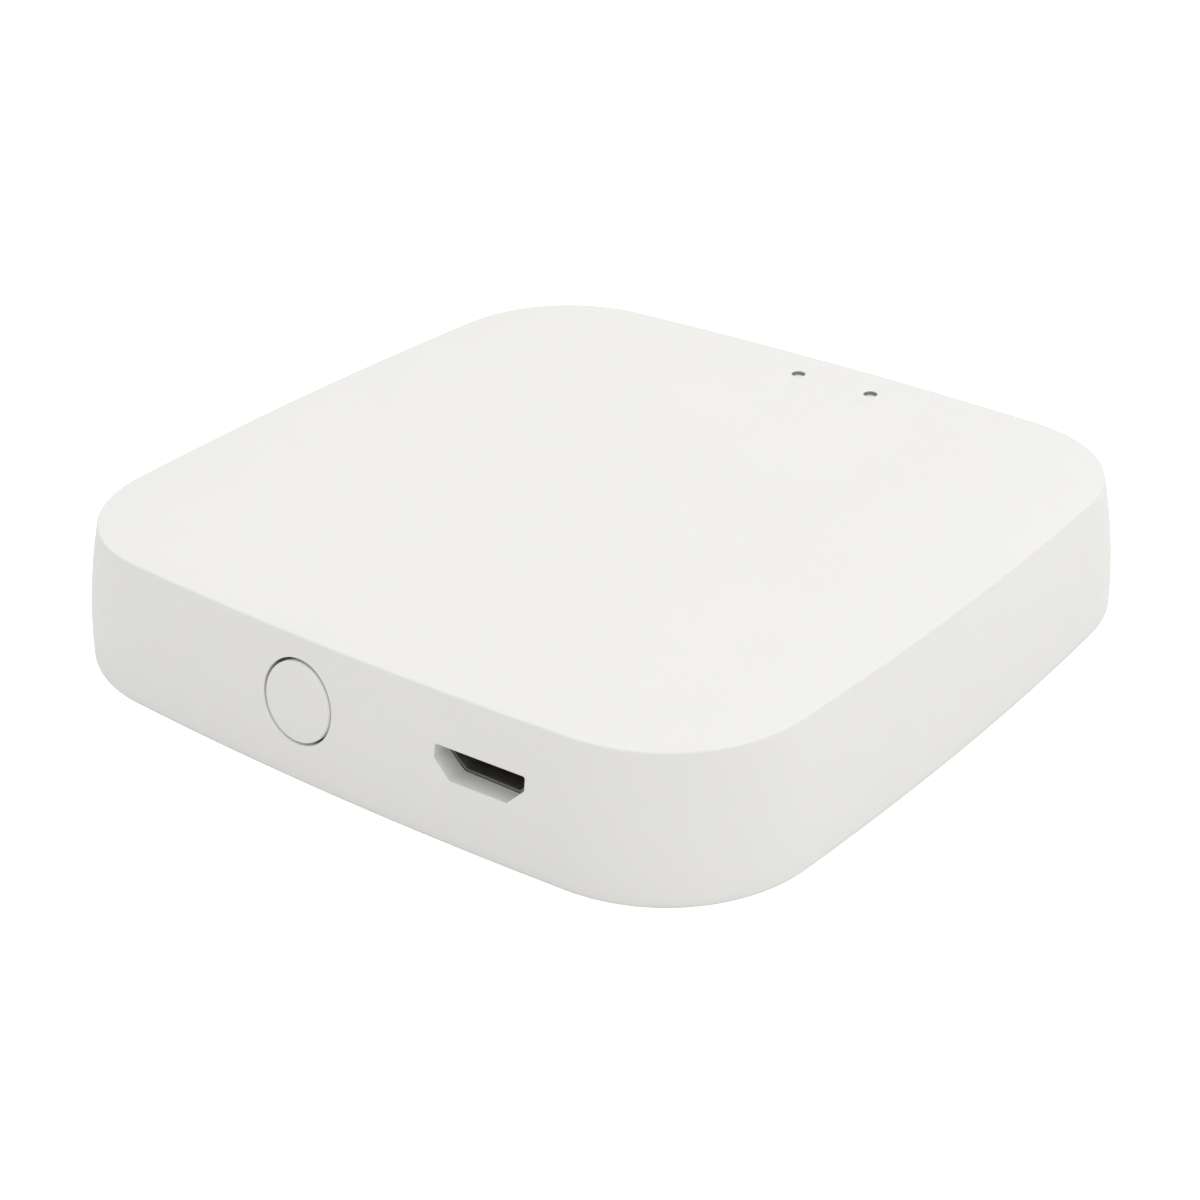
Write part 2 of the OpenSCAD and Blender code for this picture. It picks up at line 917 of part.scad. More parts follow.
top_shell();
bottom_cover();
button_cap();
foot_front_left();
foot_front_right();
foot_rear_left();
foot_rear_right();
cover_screws();
rating_label();
main_board();
switch_body();
switch_cover();
switch_plunger();
switch_dome();
switch_terminals();
usb_shell();
usb_insulator();
usb_contacts();
status_led_left();
status_led_right();
light_pipe_left();
light_pipe_right();
light_sleeve_left();
light_sleeve_right();
wifi_board();
wifi_shield();
wifi_antenna();
wifi_chip();
wifi_flash();
wifi_crystal();
zigbee_board();
zigbee_shield();
zigbee_antenna();
zigbee_chip();
zigbee_crystal();
esd_diode();
buck_regulator();
power_inductor();
input_capacitor();
output_capacitor();
chip_resistors();
chip_capacitors();
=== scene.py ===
"""Looks for the smart home hub.

Fine meshes stand for nearly all of its CAD nodes, and every piece has a procedural material.
"""

import json
import math

import bmesh
import bpy
import numpy as np
from mathutils import Matrix, Vector


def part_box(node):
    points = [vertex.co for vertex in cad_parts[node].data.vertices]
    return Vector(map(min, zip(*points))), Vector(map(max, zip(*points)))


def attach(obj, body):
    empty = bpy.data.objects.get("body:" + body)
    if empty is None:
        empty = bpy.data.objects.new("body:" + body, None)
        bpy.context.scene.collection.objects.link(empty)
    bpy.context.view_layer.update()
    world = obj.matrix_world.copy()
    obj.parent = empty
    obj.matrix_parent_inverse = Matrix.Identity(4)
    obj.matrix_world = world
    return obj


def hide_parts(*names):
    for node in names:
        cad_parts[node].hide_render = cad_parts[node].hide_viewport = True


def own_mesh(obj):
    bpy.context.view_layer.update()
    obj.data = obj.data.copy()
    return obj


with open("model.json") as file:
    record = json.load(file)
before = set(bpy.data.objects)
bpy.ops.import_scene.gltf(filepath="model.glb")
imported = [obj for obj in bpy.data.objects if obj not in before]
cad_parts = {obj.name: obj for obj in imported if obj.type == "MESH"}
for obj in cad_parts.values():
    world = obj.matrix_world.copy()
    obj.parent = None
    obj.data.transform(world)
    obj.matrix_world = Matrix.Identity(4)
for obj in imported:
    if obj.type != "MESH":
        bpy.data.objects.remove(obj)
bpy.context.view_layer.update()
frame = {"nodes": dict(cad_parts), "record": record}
MM = 0.001

# ---------- what the frame says ----------

BODIES = frame["record"]["behaviour"]["bodies"]
BODY_OF = {node: body for body, nodes in BODIES.items() for node in nodes}
SLOT_OF = {part["node"]: part["material_slot"] for part in frame["record"]["subparts"]}


def middle_of(node):
    """The centre of a CAD node's box."""
    low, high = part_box(node)
    return (low + high) / 2


SHELL_LOW, SHELL_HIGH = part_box("top_shell")
COVER_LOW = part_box("bottom_cover")[0]
BOARD_LOW, BOARD_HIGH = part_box("main_board")
HALF_W = SHELL_HIGH.x
TOP_Z = SHELL_HIGH.z
RIM_Z = SHELL_LOW.z

# ---------- the casing's outline, as in the part's source ----------

CORNER_R = 12.4 * MM
BOW = 1.65 * MM
WALL_R = 46 * MM
WIDEST_Z = TOP_Z - 10.4 * MM
WALL_T = 2 * MM
TOP_EDGE_R = 0.2 * MM
BOTTOM_EDGE_R = 1.08 * MM
CEILING_Z = TOP_Z - WALL_T
# How far a casing surface runs inwards before one flat face takes over
FLAT_RING = 8 * MM

SIDE_R = (HALF_W**2 + BOW**2) / (2 * BOW)
SIDE_CENTRE = HALF_W - SIDE_R
ARC_K = SIDE_R - HALF_W
ARC_GAP = SIDE_R - CORNER_R
CORNER_CENTRE = (math.sqrt(4 * ARC_K**2 - 8 * (ARC_K**2 - ARC_GAP**2)) - 2 * ARC_K) / 4
SIDE_TURN = math.atan2(CORNER_CENTRE, CORNER_CENTRE - SIDE_CENTRE)
SIDE_STEPS = 30
CORNER_STEPS = 28


def arc(x, y, r, a0, a1, steps):
    """Points of an arc about (x, y), angles in radians."""
    turns = np.linspace(a0, a1, steps + 1)
    return np.column_stack([x + r * np.cos(turns), y + r * np.sin(turns)])


def circle(r, steps):
    """Points of a circle about the origin."""
    return arc(0, 0, r, 0, 2 * math.pi, steps)[:-1]


def outline(inset):
    """The casing outline moved inwards by an inset, anticlockwise."""
    side = arc(SIDE_CENTRE, 0, SIDE_R - inset, -SIDE_TURN, SIDE_TURN, SIDE_STEPS)
    last_turn = math.pi / 2 - SIDE_TURN
    corner = arc(
        CORNER_CENTRE, CORNER_CENTRE, CORNER_R - inset, SIDE_TURN, last_turn, CORNER_STEPS
    )
    quarter = np.vstack([side, corner[1:-1]])
    turns = [np.array([[c, s], [-s, c]]) for c, s in ((1, 0), (0, 1), (-1, 0), (0, -1))]
    return np.vstack([quarter @ turn for turn in turns])


def wall_inset(z, thinned=0.0):
    """How far the wall stands inside its widest outline at height z."""
    return WALL_R - np.sqrt((WALL_R - thinned) ** 2 - (z - WIDEST_Z) ** 2)


def wall_curve(thinned, a0, a1, steps):
    """The wall's upright curve as (inset, height) pairs."""
    return [(WALL_R - x, z) for x, z in arc(0, WIDEST_Z, WALL_R - thinned, a0, a1, steps)]


def front_y(x, z):
    """Y of the outer face of the front wall."""
    return -SIDE_CENTRE - np.sqrt((SIDE_R - wall_inset(z)) ** 2 - x**2)


def rounded_rim(inset, z, r, steps):
    """Inset and height pairs of a casing surface's rounded lower edge."""
    turns = np.linspace(0, math.pi / 2, steps)
    return [(inset + r * (1 - math.sin(a)), z + r * (1 - math.cos(a))) for a in turns]


def eased(t):
    """A smooth rise from 0 to 1."""
    return t * t * (3 - 2 * t)


def rounded_base(r, z, edge, steps):
    """Radius and height pairs of a round bar's rounded lower edge."""
    turns = np.linspace(0, math.pi / 2, steps)
    return [(r - edge + edge * math.sin(a), z + edge - edge * math.cos(a)) for a in turns]


# ---------- mesh helpers ----------


def new_object(name, verts, faces):
    """An object in the scene with a mesh of its own."""
    mesh = bpy.data.meshes.new(name)
    mesh.from_pydata([tuple(v) for v in verts], [], [tuple(f) for f in faces])
    piece = bpy.data.objects.new(name, mesh)
    bpy.context.scene.collection.objects.link(piece)
    return piece


def rework(piece, *steps):
    """Runs bmesh steps on a piece's mesh."""
    work = bmesh.new()
    work.from_mesh(piece.data)
    for step in steps:
        step(work)
    work.to_mesh(piece.data)
    work.free()
    return piece


def loft(name, rings, looped=False):
    """A closed solid through rings of equal length, with capped ends, or joined ends if looped."""
    count = len(rings[0])
    last = len(rings) - 1
    pairs = [(k, k + 1) for k in range(last)]
    if looped:
        faces = []
        pairs.append((last, 0))
    else:
        faces = [range(count), range(last * count, (last + 1) * count)]
    for a, b in pairs:
        for i in range(count):
            j = (i + 1) % count
            faces.append([a * count + i, a * count + j, b * count + j, b * count + i])
    piece = new_object(name, np.vstack(rings), faces)
    return rework(piece, lambda work: bmesh.ops.recalc_face_normals(work, faces=work.faces))


def flat_ring(points, z):
    """X, Y pairs as level points at height z."""
    return np.column_stack([points, np.full(len(points), z)])


def swept(name, profile):
    """A solid with one ring along the casing's outline for each (inset, height) of the profile."""
    return loft(name, [flat_ring(outline(inset), z) for inset, z in profile])


def lathe(name, profile, at=(0, 0, 0), steps=64, looped=False):
    """A solid turned about an upright axis from (radius, height) pairs with radii above 0."""
    piece = loft(name, [flat_ring(circle(r, steps), z) for r, z in profile], looped)
    piece.data.transform(Matrix.Translation(at))
    return piece


def rod(r, z0, z1, at=(0, 0, 0), steps=64):
    """An upright round bar, as a cutter or a post."""
    return lathe("rod", [(r, z0), (r, z1)], at, steps)


def rod_y(r, start, length, steps=64):
    """A round bar along +Y."""
    piece = lathe("rod", [(r, 0), (r, length)], steps=steps)
    piece.data.transform(Matrix.Translation(start) @ Matrix.Rotation(-math.pi / 2, 4, "X"))
    return piece


def block(low, high):
    """A box between two corners, as a cutter or a rib."""
    (x0, y0, z0), (x1, y1, z1) = low, high
    ring = np.array([(x0, y0), (x1, y0), (x1, y1), (x0, y1)])
    return loft("block", [flat_ring(ring, z) for z in (z0, z1)])


def apply_modifiers(piece):
    """Gives the piece the mesh that its modifiers make."""
    graph = bpy.context.evaluated_depsgraph_get()
    result = bpy.data.meshes.new_from_object(piece.evaluated_get(graph))
    piece.modifiers.clear()
    piece.data = result
    return piece


def combine(piece, other, operation):
    """Boolean of two closed solids. The other one is used up."""
    step = piece.modifiers.new("combine", "BOOLEAN")
    step.operation = operation
    step.solver = "EXACT"
    step.object = other
    apply_modifiers(piece)
    bpy.data.objects.remove(other)
    return piece


def cut(piece, other):
    """Takes the other solid away from the piece."""
    return combine(piece, other, "DIFFERENCE")


def join(piece, other):
    """Makes one solid of the piece and the other."""
    return combine(piece, other, "UNION")


def shade(piece, crease=28):
    """Smooth shading with sharp edges where faces meet at more than crease degrees."""

    def weld(work):
        bmesh.ops.remove_doubles(work, verts=work.verts, dist=1e-7)
        bmesh.ops.dissolve_degenerate(work, edges=work.edges, dist=1e-8)

    def mark(work):
        for face in work.faces:
            face.smooth = True
        limit = math.radians(crease)
        for edge in work.edges:
            edge.smooth = len(edge.link_faces) == 2 and edge.calc_face_angle(0) < limit

    return rework(piece, weld, mark)


def stands_for(piece, *nodes):
    """The piece rides, shows and takes its finish as its CAD nodes do."""
    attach(piece, BODY_OF[nodes[0]])
    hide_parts(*nodes)
    piece.data.materials.clear()
    piece.data.materials.append(materials[SLOT_OF[nodes[0]]])
    return piece


# ---------- material helpers ----------


def noise(tree, scale, detail=2.0, rough=0.5):
    """A noise pattern in the object's own metres."""
    place = tree.nodes.new("ShaderNodeTexCoord")
    node = tree.nodes.new("ShaderNodeTexNoise")
    node.inputs["Scale"].default_value = scale
    node.inputs["Detail"].default_value = detail
    node.inputs["Roughness"].default_value = rough
    tree.links.new(place.outputs["Object"], node.inputs["Vector"])
    return node.outputs["Fac"]


def brushed(tree, scale, stretch):
    """A noise pattern drawn out by a factor along each axis."""
    place = tree.nodes.new("ShaderNodeTexCoord")
    mapping = tree.nodes.new("ShaderNodeMapping")
    node = tree.nodes.new("ShaderNodeTexNoise")
    mapping.inputs["Scale"].default_value = stretch
    node.inputs["Scale"].default_value = scale
    node.inputs["Detail"].default_value = 3
    tree.links.new(place.outputs["Object"], mapping.inputs["Vector"])
    tree.links.new(mapping.outputs["Vector"], node.inputs["Vector"])
    return node.outputs["Fac"]


def spread(tree, source, low, high, centre=0.5, width=0.4):
    """Maps a pattern's middle band to the range low to high."""
    node = tree.nodes.new("ShaderNodeMapRange")
    node.inputs["From Min"].default_value = centre - width / 2
    node.inputs["From Max"].default_value = centre + width / 2
    node.inputs["To Min"].default_value = low
    node.inputs["To Max"].default_value = high
    tree.links.new(source, node.inputs["Value"])
    return node.outputs["Result"]


def tint(tree, source, dark, light):
    """Colour between two shades, by a pattern."""
    node = tree.nodes.new("ShaderNodeMix")
    node.data_type = "RGBA"
    node.inputs["A"].default_value = (*dark, 1)
    node.inputs["B"].default_value = (*light, 1)
    tree.links.new(source, node.inputs["Factor"])
    return node.outputs["Result"]


def bump(tree, source, strength, distance):
    """A pattern as fine surface relief."""
    node = tree.nodes.new("ShaderNodeBump")
    node.inputs["Strength"].default_value = strength
    node.inputs["Distance"].default_value = distance
    tree.links.new(source, node.inputs["Height"])
    return node.outputs["Normal"]


def shades(colour, contrast):
    """A darker and a lighter shade of a colour."""
    return [c * (1 - contrast) for c in colour], [min(1, c * (1 + contrast)) for c in colour]


def blank(name):
    """An empty principled material: the material, its tree and its shader."""
    made = bpy.data.materials.new(name)
    made.use_nodes = True
    tree = made.node_tree
    shader = next(n for n in tree.nodes if n.type == "BSDF_PRINCIPLED")
    return made, tree, shader


def moulded(
    name, colour, contrast=0.006, rough=(0.4, 0.48), grain=5200, relief=0.01 * MM, **constant
):
    """Moulded plastic, rubber or ceramic: fine grain, faint mottling and gloss changes."""
    made, tree, shader = blank(name)
    mottle = spread(tree, noise(tree, 90, 3), 0, 1)
    tree.links.new(tint(tree, mottle, *shades(colour, contrast)), shader.inputs["Base Color"])
    tree.links.new(spread(tree, noise(tree, 900), *rough), shader.inputs["Roughness"])
    tree.links.new(bump(tree, noise(tree, grain, 3, 0.6), 0.5, relief), shader.inputs["Normal"])
    for socket, value in constant.items():
        shader.inputs[socket.replace("_", " ")].default_value = value
    return made


def metal(name, colour, rough=(0.25, 0.4), stretch=(1, 12, 12), grain=900, contrast=0.06):
    """Stamped or plated metal: rolling marks along X and clouded gloss."""
    made, tree, shader = blank(name)
    marks = brushed(tree, grain, stretch)
    clouds = spread(tree, noise(tree, 260, 3), 0, 1)
    tree.links.new(tint(tree, clouds, *shades(colour, contrast)), shader.inputs["Base Color"])
    tree.links.new(spread(tree, marks, *rough), shader.inputs["Roughness"])
    tree.links.new(bump(tree, marks, 0.3, 0.004 * MM), shader.inputs["Normal"])
    shader.inputs["Metallic"].default_value = 1
    return made


def solder_mask(name, colour):
    """Circuit board lacquer over a web of copper tracks that show as paler, raised lines."""
    made, tree, shader = blank(name)
    place = tree.nodes.new("ShaderNodeTexCoord")
    cells = tree.nodes.new("ShaderNodeTexVoronoi")
    cells.feature = "DISTANCE_TO_EDGE"
    cells.inputs["Scale"].default_value = 520
    tree.links.new(place.outputs["Object"], cells.inputs["Vector"])
    tracks = spread(tree, cells.outputs["Distance"], 1, 0, centre=0.09, width=0.03)
    light = [min(1, c * 1.7 + 0.01) for c in colour]
    tree.links.new(tint(tree, tracks, colour, light), shader.inputs["Base Color"])
    tree.links.new(spread(tree, noise(tree, 700), 0.3, 0.42), shader.inputs["Roughness"])
    tree.links.new(bump(tree, tracks, 0.4, 0.02 * MM), shader.inputs["Normal"])
    return made


WHITE = (0.802, 0.794, 0.765)

# The material of each slot
materials = {
    "shell_white": moulded("moulded_white", WHITE),
    "cover_white": moulded("moulded_white_cover", (0.775, 0.766, 0.738), rough=(0.5, 0.6)),
    "button_white": moulded("satin_white", WHITE, rough=(0.34, 0.42), relief=0.006 * MM),
    "foot_rubber": moulded(
        "foot_rubber", (0.055, 0.055, 0.057), 0.15, (0.7, 0.85), 3800, 0.03 * MM
    ),
    "screw_steel": metal("screw_steel", (0.6, 0.6, 0.61), (0.22, 0.34), (6, 6, 1)),
    "label_film": moulded(
        "label_film", (0.66, 0.67, 0.68), 0.02, (0.3, 0.38), 2600, 0.004 * MM, Metallic=0.35
    ),
    "board_green": solder_mask("board_lacquer", (0.014, 0.11, 0.05)),
    "switch_black": moulded("switch_plastic", (0.022, 0.022, 0.022), 0.1, (0.4, 0.55)),
    "switch_metal": metal("switch_plate", (0.64, 0.64, 0.63)),
    "plunger_ivory": moulded("plunger_plastic", (0.72, 0.66, 0.53), 0.03, (0.35, 0.45)),
    "dome_steel": metal("dome_steel", (0.62, 0.61, 0.59), (0.18, 0.26)),
    "tinned_lead": metal("tinned_lead", (0.68, 0.68, 0.67), (0.3, 0.45)),
    # Darker than bright nickel: partly the steel's own grey, partly painted shade for the inlet's
    # dark inside
    "inlet_steel": metal("inlet_steel", (0.3, 0.3, 0.31), (0.4, 0.55)),
    "inlet_black": moulded("inlet_plastic", (0.012, 0.012, 0.013), 0.1, (0.38, 0.5)),
    "contact_gold": metal("contact_gold", (0.8, 0.56, 0.2), (0.2, 0.3)),
    "lamp_white": moulded(
        "lamp_lens", (0.78, 0.78, 0.7), 0.02, (0.15, 0.22), Subsurface_Weight=0.2
    ),
    "light_pipe": moulded(
        "milky_pipe", (0.8, 0.8, 0.78), 0.02, (0.22, 0.3), Transmission_Weight=0.15
    ),
    # Dark grey lining of each light hole: painted shade on the hole's far wall
    "sleeve_grey": moulded("painted_shade_sleeve", (0.24, 0.24, 0.24), 0.05, (0.45, 0.6)),
    "module_board": solder_mask("module_lacquer", (0.012, 0.026, 0.11)),
    "shield_tin": metal("shield_tin", (0.64, 0.64, 0.63), (0.28, 0.42)),
    "antenna_gold": metal("antenna_gold", (0.76, 0.54, 0.19), (0.25, 0.35)),
    "chip_black": moulded("chip_epoxy", (0.02, 0.02, 0.021), 0.12, (0.5, 0.65), 7000, 0.012 * MM),
    "crystal_can": metal("crystal_lid", (0.62, 0.62, 0.6), (0.2, 0.32)),
    "inductor_ferrite": moulded(
        "pressed_ferrite", (0.07, 0.07, 0.075), 0.2, (0.55, 0.7), 4200, 0.03 * MM
    ),
    "tantalum_case": moulded("tantalum_case", (0.55, 0.29, 0.045), 0.05, (0.38, 0.5)),
    "resistor_body": moulded(
        "glazed_chip", (0.024, 0.024, 0.024), 0.15, (0.2, 0.3), 6000, 0.006 * MM
    ),
    "capacitor_body": moulded("fired_ceramic", (0.3, 0.19, 0.1), 0.08, (0.45, 0.6)),
}

# ---------- casing pieces ----------

EDGE_ROUND = 0.03 * MM
ROUND_STEPS = 5
SCREW_OFFSET = 20 * MM
CORNERS = [(sx, sy) for sx in (-1, 1) for sy in (-1, 1)]
POST_R = 2.8 * MM
BUTTON = Vector((middle_of("switch_plunger").x, 0, middle_of("switch_plunger").z))
BUTTON_R = 3.02 * MM
BUTTON_GAP = 0.19 * MM
SEAT_Y = -29.6 * MM
FLANGE_Y = SEAT_Y + 0.03 * MM
LIGHT_HOLE_R = 0.58 * MM


def rounding(size):
    """Growth and depth pairs of a rounded mouth, from its wall out through the surface."""
    turns = np.linspace(0, math.radians(75), ROUND_STEPS)
    pairs = [(size * (1 - math.cos(a)), size * (1 - math.sin(a))) for a in turns]
    last_grown, last_depth = pairs[-1]
    pairs.append((last_grown + size * math.sin(turns[-1]), last_depth - size * math.cos(turns[-1])))
    return pairs


def front_cutter(path, deep_y, size=EDGE_ROUND):
    """A cutter along +Y through the front wall. path(g) is its outline grown by g, as X, Z pairs."""
    rings = []
    for grown, depth in reversed(rounding(size)):
        x, z = path(grown).T
        rings.append(np.column_stack([x, front_y(x, z) + depth, z]))
    outside = rings[0].copy()
    outside[:, 1] = -HALF_W - MM
    inside = rings[-1].copy()
    inside[:, 1] = deep_y
    return loft("cutter", [outside, *rings, inside])


def fillet(before, corner, after, radius, steps=6):
    """One rounded corner of a polygon."""
    u = (before - corner) / np.linalg.norm(before - corner)
    v = (after - corner) / np.linalg.norm(after - corner)
    half = math.acos(np.clip(u @ v, -1, 1)) / 2
    centre = corner + (u + v) / np.linalg.norm(u + v) * radius / math.sin(half)
    start = corner + u * radius / math.tan(half) - centre
    end = corner + v * radius / math.tan(half) - centre
    a0 = math.atan2(start[1], start[0])
    turn = math.atan2(end[1], end[0]) - a0
    turn = (turn + math.pi) % (2 * math.pi) - math.pi
    return arc(centre[0], centre[1], radius, a0, a0 + turn, steps)


def rounded(corners, radius):
    """A polygon with every corner rounded."""
    corners = [np.array(c, float) for c in corners]
    after = corners[1:] + corners[:1]
    return np.vstack([fillet(corners[i - 1], c, after[i], radius) for i, c in enumerate(corners)])


USB_W = 7.44 * MM
USB_H = 2.33 * MM
USB_LOW_W = 4.74 * MM
USB_RISE = 0.13 * MM
USB_CORNER = 0.2 * MM
# How much the lower corners move outwards for each unit of growth
USB_LOW_GROWTH = 0.4
USB_RIM = 0.1 * MM
USB_METAL = 0.3 * MM
USB_X = middle_of("usb_insulator").x
USB_Z = middle_of("usb_insulator").z
USB_LOW, USB_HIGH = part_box("usb_shell")


def button_path(grown):
    """The button hole's outline as X, Z pairs."""
    return circle(BUTTON_R + BUTTON_GAP + grown, 96) + np.array([BUTTON.x, BUTTON.z])


def usb_path(grown):
    """The inlet's outline, wide side up, as X, Z pairs."""
    half = USB_W / 2 + grown
    low_half = USB_LOW_W / 2 + USB_LOW_GROWTH * grown
    high = USB_H / 2 + grown
    right = [(low_half, -high), (half, USB_RISE), (half, high)]
    left = [(-x, z) for x, z in reversed(right)]
    return rounded(right + left, USB_CORNER) + np.array([USB_X, USB_Z])


def shell_profile():
    """Down the inside of the wall, round its lower edge and up the outside to the top face."""
    under = math.asin((CEILING_Z - WIDEST_Z) / (WALL_R - WALL_T))
    edge_z = TOP_Z - TOP_EDGE_R
    bend = math.asin((edge_z - WIDEST_Z) / (WALL_R - TOP_EDGE_R))
    edge_inset = wall_inset(edge_z, TOP_EDGE_R)
    profile = wall_curve(WALL_T, under, 0, 10)
    profile.insert(0, (profile[0][0] + FLAT_RING, CEILING_Z))
    profile.append((WALL_T, RIM_Z))
    profile += rounded_rim(0, RIM_Z, BOTTOM_EDGE_R, 9)[:-1]
    profile += wall_curve(0, 0, bend, 22)
    profile += [
        (edge_inset - TOP_EDGE_R * math.cos(a), edge_z + TOP_EDGE_R * math.sin(a))
        for a in np.linspace(bend, math.pi / 2, 8)[1:]
    ]
    profile.append((edge_inset + FLAT_RING, TOP_Z))
    return profile


def add_guides(shell):
    """The seat ring round the button hole and a rib on each side of the button's flange."""
    root_y = SEAT_Y - 1.2 * MM
    ring_r = 4.4 * MM
    rib_x = 5.4 * MM
    rib_half = 0.5 * MM
    rib_y = -28.4 * MM
    rib_z = 5.2 * MM
    join(shell, rod_y(ring_r, (BUTTON.x, root_y, BUTTON.z), SEAT_Y - root_y))
    for side in (-1, 1):
        x = BUTTON.x + side * rib_x
        join(shell, block(
            (x - rib_half, root_y, rib_z),
            (x + rib_half, rib_y, CEILING_Z + rib_half),
        ))


def add_screw_posts(shell):
    """The posts that the board is clamped against, with their screw holes."""
    hole_r = 1 * MM
    hole_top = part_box("cover_screws")[1].z + 0.2 * MM
    for sx, sy in CORNERS:
        at = (sx * SCREW_OFFSET, sy * SCREW_OFFSET, 0)
        join(shell, rod(POST_R, BOARD_HIGH.z, CEILING_Z + MM, at))
        cut(shell, rod(hole_r, BOARD_HIGH.z - MM, hole_top, at, 32))


def add_light_holes(shell):
    """A socket for each light pipe's flange and a small rounded hole through the top."""
    socket_low = CEILING_Z - 1.4 * MM
    socket_r = 2 * MM
    bore_r = 1.12 * MM
    mouth_round = 0.05 * MM
    for node in ("light_pipe_left", "light_pipe_right"):
        centre = middle_of(node)
        at = (centre.x, centre.y, 0)
        join(shell, rod(socket_r, socket_low, CEILING_Z + MM, at))
        cut(shell, rod(bore_r, socket_low - MM, CEILING_Z, at, 48))
        mouth = [(LIGHT_HOLE_R, CEILING_Z - MM)]
        mouth += [(LIGHT_HOLE_R + grown, TOP_Z - depth) for grown, depth in rounding(mouth_round)]
        mouth.append((mouth[-1][0], TOP_Z + MM))
        cut(shell, lathe("mouth", mouth, at, 48))


def make_casing():
    """The upper casing with its posts, guides, light holes and the front wall's two openings."""
    shell = swept("upper_casing", shell_profile())
    add_screw_posts(shell)
    add_guides(shell)
    add_light_holes(shell)
    button_depth_y = -28 * MM
    usb_depth_y = -29 * MM
    usb_edge = 0.06 * MM
    cut(shell, front_cutter(button_path, button_depth_y))
    cut(shell, front_cutter(usb_path, usb_depth_y, usb_edge))
    half_w = USB_W / 2 + USB_RIM + 0.25 * MM
    half_h = USB_H / 2 + USB_RIM + 0.25 * MM
    pocket_y = USB_LOW.y - 0.05 * MM
    cut(shell, block(
        (USB_X - half_w, pocket_y, USB_Z - half_h),
        (USB_X + half_w, pocket_y + 5 * MM, USB_Z + half_h),
    ))
    return stands_for(shade(shell), "top_shell")


def label_corners(inward):
    """The label's four corners, each moved in by a distance along X and Y."""
    low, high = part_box("rating_label")
    x0, y0, x1, y1 = low.x + inward, low.y + inward, high.x - inward, high.y - inward
    return [(x0, y0), (x1, y0), (x1, y1), (x0, y1)]


def make_cover():
    """Base plate with rounded rim, locating lip, posts, and recesses for feet, screws and label."""
    inset = WALL_T + 0.15 * MM
    lip = inset + 0.15 * MM
    lip_t = 1.2 * MM
    edge = 0.3 * MM
    plate_top = COVER_LOW.z + 1.6 * MM
    lip_top = plate_top + 1.2 * MM
    lead_in = 0.25 * MM
    profile = [(inset + FLAT_RING, COVER_LOW.z)]
    profile += rounded_rim(inset, COVER_LOW.z, edge, 7)
    profile += [
        (inset, plate_top), (lip, plate_top), (lip, lip_top - lead_in), (lip + lead_in, lip_top),
        (lip + lip_t, lip_top), (lip + lip_t, plate_top),
    ]
    cover = swept("lower_cover", profile)
    foot_low, foot_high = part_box("foot_front_left")
    recess_r = (foot_high.x - foot_low.x) / 2 + 0.1 * MM
    mouth = [
        (recess_r + 0.4 * MM, COVER_LOW.z - 0.3 * MM),
        (recess_r, COVER_LOW.z + 0.1 * MM),
        (recess_r, foot_high.z),
    ]
    head_r = 2.1 * MM
    head_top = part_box("cover_screws")[0].z + 1.2 * MM
    shank_r = 1.15 * MM
    post_low = COVER_LOW.z + 0.8 * MM
    for sx, sy in CORNERS:
        at = (sx * SCREW_OFFSET, sy * SCREW_OFFSET, 0)
        join(cover, rod(POST_R, post_low, BOARD_LOW.z, at))
        cut(cover, lathe("recess", mouth, at, 72))
        cut(cover, rod(head_r, COVER_LOW.z, head_top, at, 48))
        cut(cover, rod(shank_r, COVER_LOW.z, BOARD_HIGH.z, at, 32))
    inlet_post_r = 1.2 * MM
    inlet_post_y = -24 * MM
    join(cover, rod(inlet_post_r, post_low, BOARD_LOW.z, (USB_X, inlet_post_y, 0), 48))
    slack = 0.12 * MM
    panel_r = 1.1 * MM
    panel_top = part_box("rating_label")[1].z
    panel = rounded(label_corners(-slack), panel_r)
    cut(cover, loft("panel", [flat_ring(panel, COVER_LOW.z - MM), flat_ring(panel, panel_top)]))
    return stands_for(shade(cover), "bottom_cover")


def make_label():
    """Blank film with round corners and a slightly bevelled lower edge."""
    low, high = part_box("rating_label")
    corner_r = 1 * MM
    profile = [(0.05 * MM, low.z + 0.01 * MM), (0, low.z + 0.03 * MM), (0, high.z)]
    rings = [flat_ring(rounded(label_corners(inward), corner_r), z) for inward, z in profile]
    return stands_for(shade(loft("blank_label", rings)), "rating_label")


def make_foot(node):
    """Round rubber foot with a rolled edge, a flat contact ring and a shallow dished middle."""
    low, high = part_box(node)
    centre = middle_of(node)
    r = (high.x - low.x) / 2
    edge = 0.35 * MM
    dish = 0.18 * MM
    dish_r = 1.7 * MM
    slope = 0.7 * MM
    profile = [(0.15 * MM, dish)]
    profile += [(dish_r + slope * t, dish * (1 - eased(t))) for t in np.linspace(0, 1, 9)]
    profile += rounded_base(r, 0, edge, 9)
    profile.append((r, high.z))
    foot = lathe("rubber_" + node, profile, (centre.x, centre.y, 0), 96)
    return stands_for(shade(foot), node)


